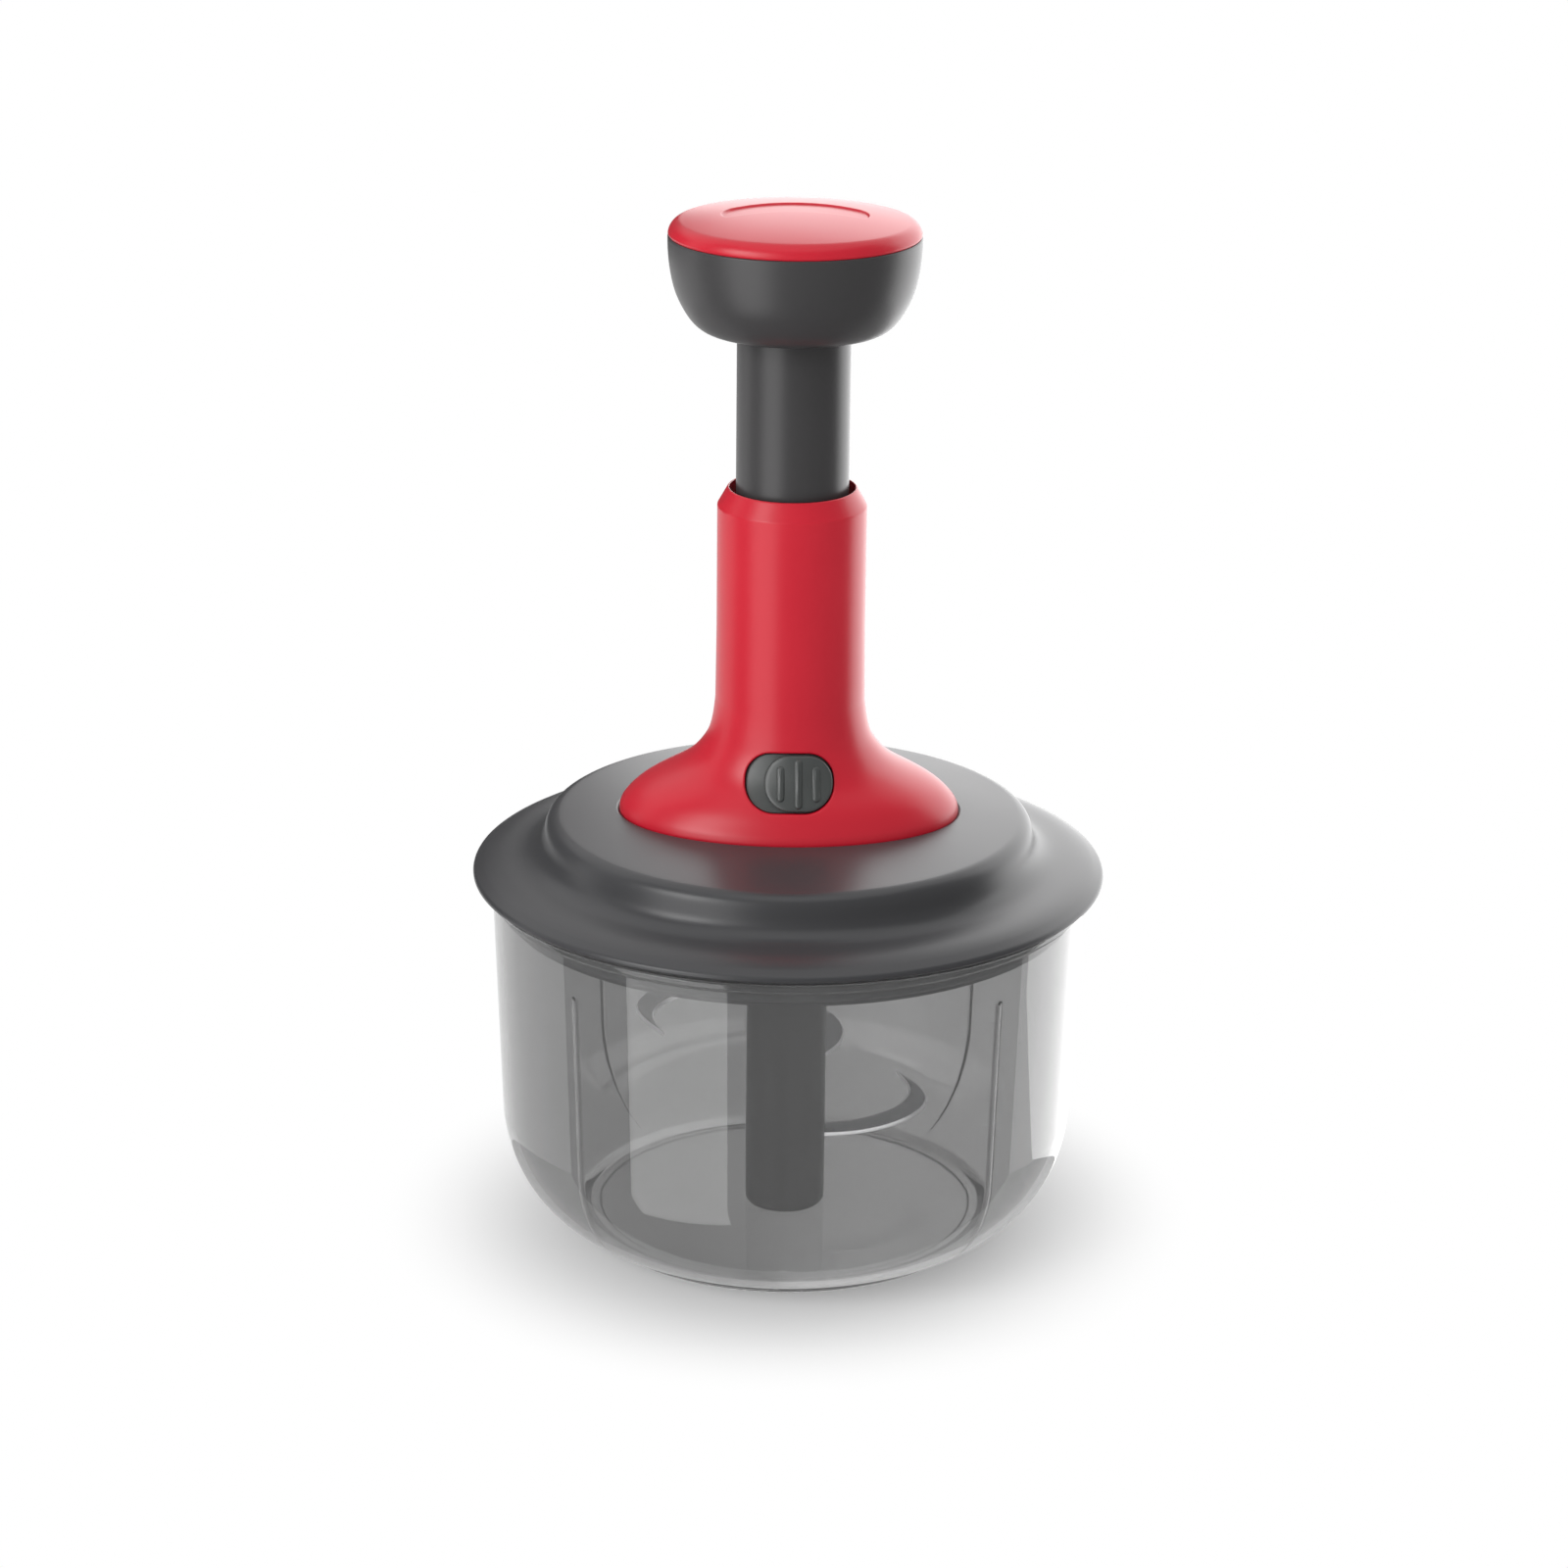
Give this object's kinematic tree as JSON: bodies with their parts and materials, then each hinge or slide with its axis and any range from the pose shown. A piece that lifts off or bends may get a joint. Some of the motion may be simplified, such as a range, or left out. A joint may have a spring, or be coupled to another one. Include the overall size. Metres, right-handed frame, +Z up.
{
  "type": "plunger food chopper",
  "caption": "Hand-pressed food chopper: clear bowl, dark lid with a spring-return press handle, twisted-rod drive and a lift-out post of sickle blades.",
  "frame": {"origin": "middle of the bowl's foot ring, on the surface that the chopper stands on", "axes": "+Z up along the plunger's axis, -Y towards the user and the lock slider, +X to the user's right"},
  "size_m": [0.15, 0.15, 0.2476],
  "materials": {
    "clear_plastic": "clear injection-moulded styrene, polished",
    "lid_plastic": "dark grey ABS, satin gloss",
    "dark_plastic": "dark grey ABS, satin gloss",
    "red_plastic": "red ABS, satin gloss",
    "lock_plastic": "mid grey ABS, fine satin",
    "blade_steel": "stamped stainless sheet with a ground edge",
    "steel": "bright drawn and turned steel",
    "bearing_plastic": "natural white acetal",
    "seal_rubber": "grey silicone rubber"
  },
  "bodies": {
    "bowl": {"bowl": "clear_plastic", "pivot_pin": "steel"},
    "blade_rotor": {"blade_hub": "dark_plastic", "hub_bush": "bearing_plastic", "lower_blade": "blade_steel", "middle_blade": "blade_steel", "upper_blade": "blade_steel"},
    "lid": {"lid_cover": "lid_plastic", "lid_inner_plate": "dark_plastic", "lid_seal": "seal_rubber", "lid_screws": "steel", "handle_housing": "red_plastic", "guide_bush": "bearing_plastic", "housing_screws": "steel", "bearing_bush": "bearing_plastic", "thrust_washer": "steel", "lock_plate": "lock_plastic", "return_spring": "steel"},
    "shaft": {"drive_shaft": "steel", "shaft_clip": "steel", "drive_coupler": "dark_plastic", "coupler_screw": "steel"},
    "plunger": {"plunger_sleeve": "dark_plastic", "drive_nut": "bearing_plastic", "clutch_ring": "bearing_plastic", "nut_retainer": "steel", "knob_body": "dark_plastic", "knob_cap": "red_plastic", "knob_screw": "steel"},
    "lock_slider": {"lock_button": "lock_plastic", "lock_catch": "dark_plastic"}
  },
  "joints": [
    {"name": "lid_lift", "type": "slide", "parent": "bowl", "child": "lid", "axis": [0, 0, 1], "range_m": [0, 0.12]},
    {"name": "plunger_press", "type": "slide", "parent": "lid", "child": "plunger", "axis": [0, 0, -1], "range_m": [0, 0.036], "stiffness_N_per_m": 250, "springref_m": -0.008, "deforming": ["return_spring"]},
    {"name": "shaft_spin", "type": "hinge", "parent": "lid", "child": "shaft", "pos_m": [0, 0, 0.1], "axis": [0, 0, -1], "range_deg": [0, 540]},
    {"name": "blade_spin", "type": "hinge", "parent": "bowl", "child": "blade_rotor", "pos_m": [0, 0, 0.015], "axis": [0, 0, -1], "range_deg": [0, 540]},
    {"name": "lock_slide", "type": "slide", "parent": "lid", "child": "lock_slider", "axis": [-1, 0, 0], "range_m": [0, 0.0042]}
  ],
  "couplings": [
    {"joint": "shaft_spin", "follows": "plunger_press", "rad_per_m": 261.8},
    {"joint": "blade_spin", "follows": "plunger_press", "rad_per_m": 261.8}
  ]
}
